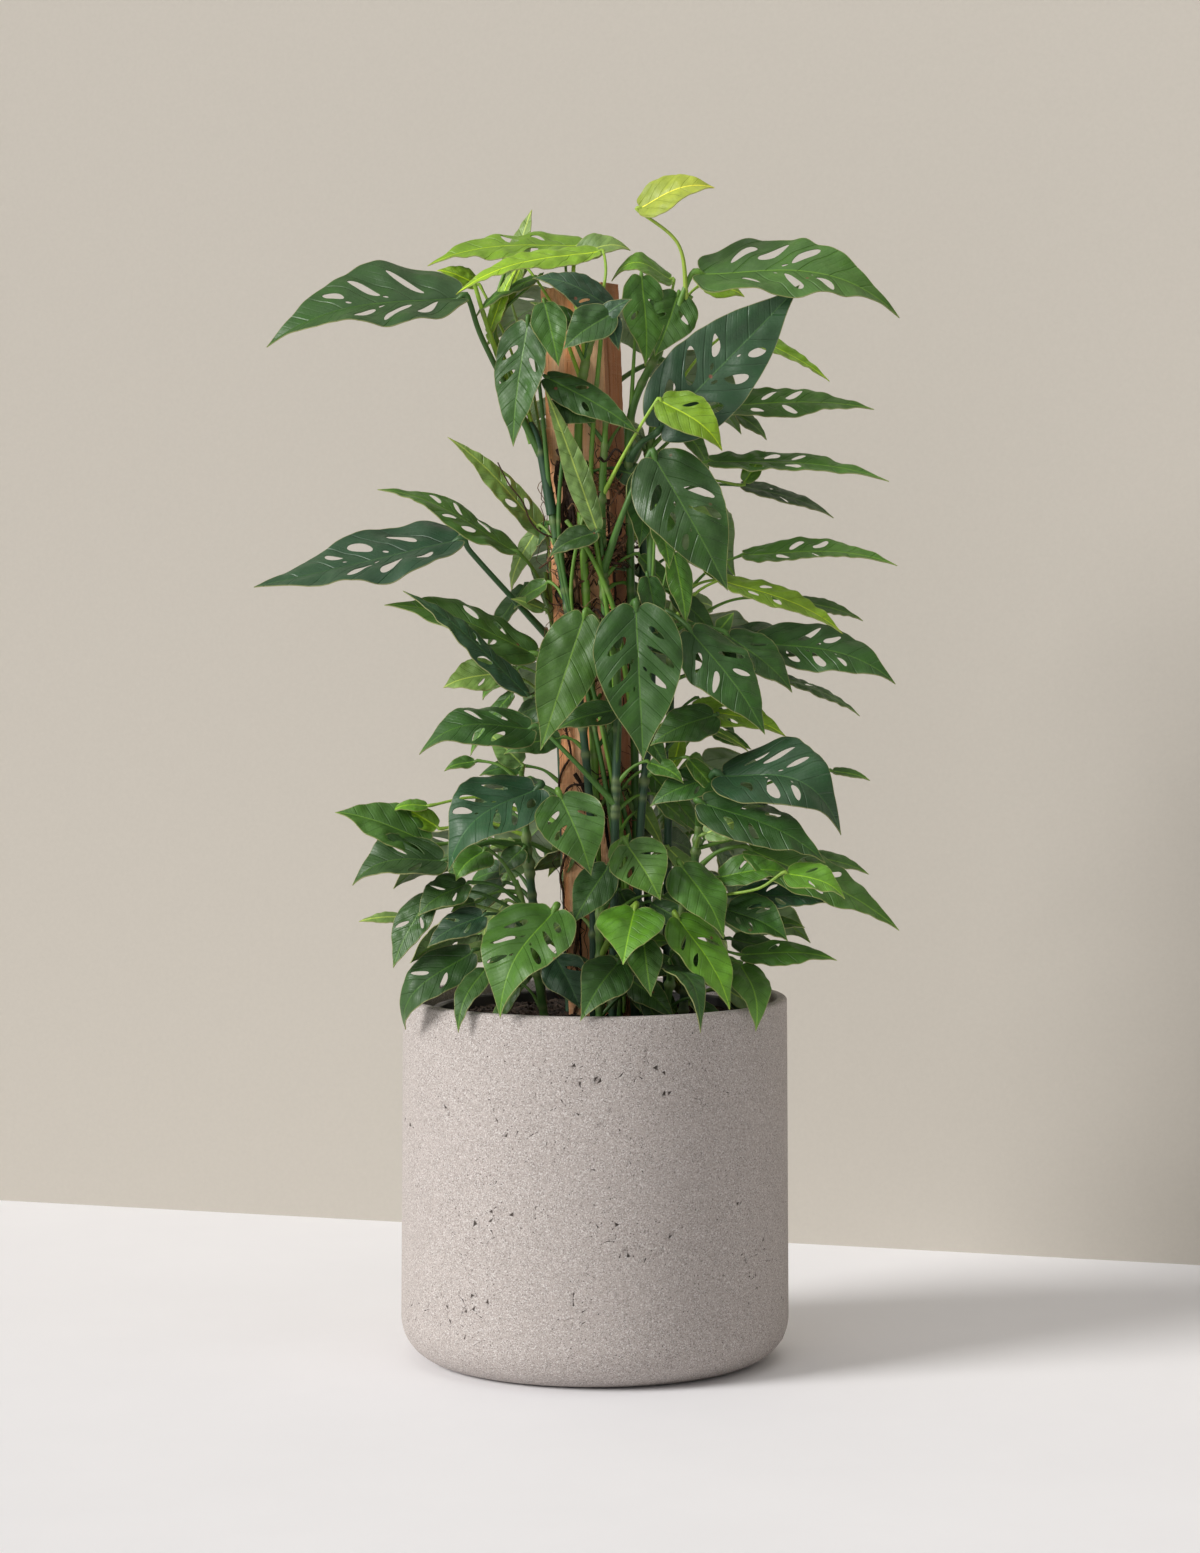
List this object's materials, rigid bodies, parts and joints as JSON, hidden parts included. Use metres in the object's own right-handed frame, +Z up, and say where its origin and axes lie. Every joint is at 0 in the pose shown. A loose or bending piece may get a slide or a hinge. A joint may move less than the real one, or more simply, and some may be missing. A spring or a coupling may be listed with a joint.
{
  "type": "monstera adansonii in a planter",
  "caption": "Climbing monstera adansonii with holed leaves on a rough wooden stake, in a nursery pot inside a grey cylindrical planter.",
  "frame": {"origin": "middle of the planter's flat underside", "axes": "+Z up along the planter, -Y towards the plant's front, +X to its right"},
  "size_m": [0.5421, 0.3464, 1.0046],
  "materials": {
    "grit_planter": "fine salt-and-pepper grit, matte, with small dark pits",
    "nursery_pot": "black moulded plastic",
    "potting_mix": "dark damp bark chips and coir",
    "rough_timber": "rough sawn, unfinished",
    "leaf": "smooth living leaf with a soft sheen, paler veins and margin"
  },
  "bodies": {
    "root": {"planter": "grit_planter", "grow_pot": "nursery_pot", "soil": "potting_mix", "stake": "rough_timber", "vine_left_top": "leaf", "vine_crown": "leaf", "vine_front_top": "leaf", "vine_right_top": "leaf", "vine_right_upper": "leaf", "vine_right_front": "leaf", "vine_right_mid": "leaf", "vine_centre": "leaf", "vine_left_mid": "leaf", "vine_left_low": "leaf", "vine_left_base": "leaf", "vine_centre_low": "leaf", "vine_right_low": "leaf", "vine_right_base": "leaf", "vine_back_top": "leaf", "vine_back_mid": "leaf", "vine_back_low": "leaf", "vine_back_right": "leaf"}
  },
  "joints": []
}
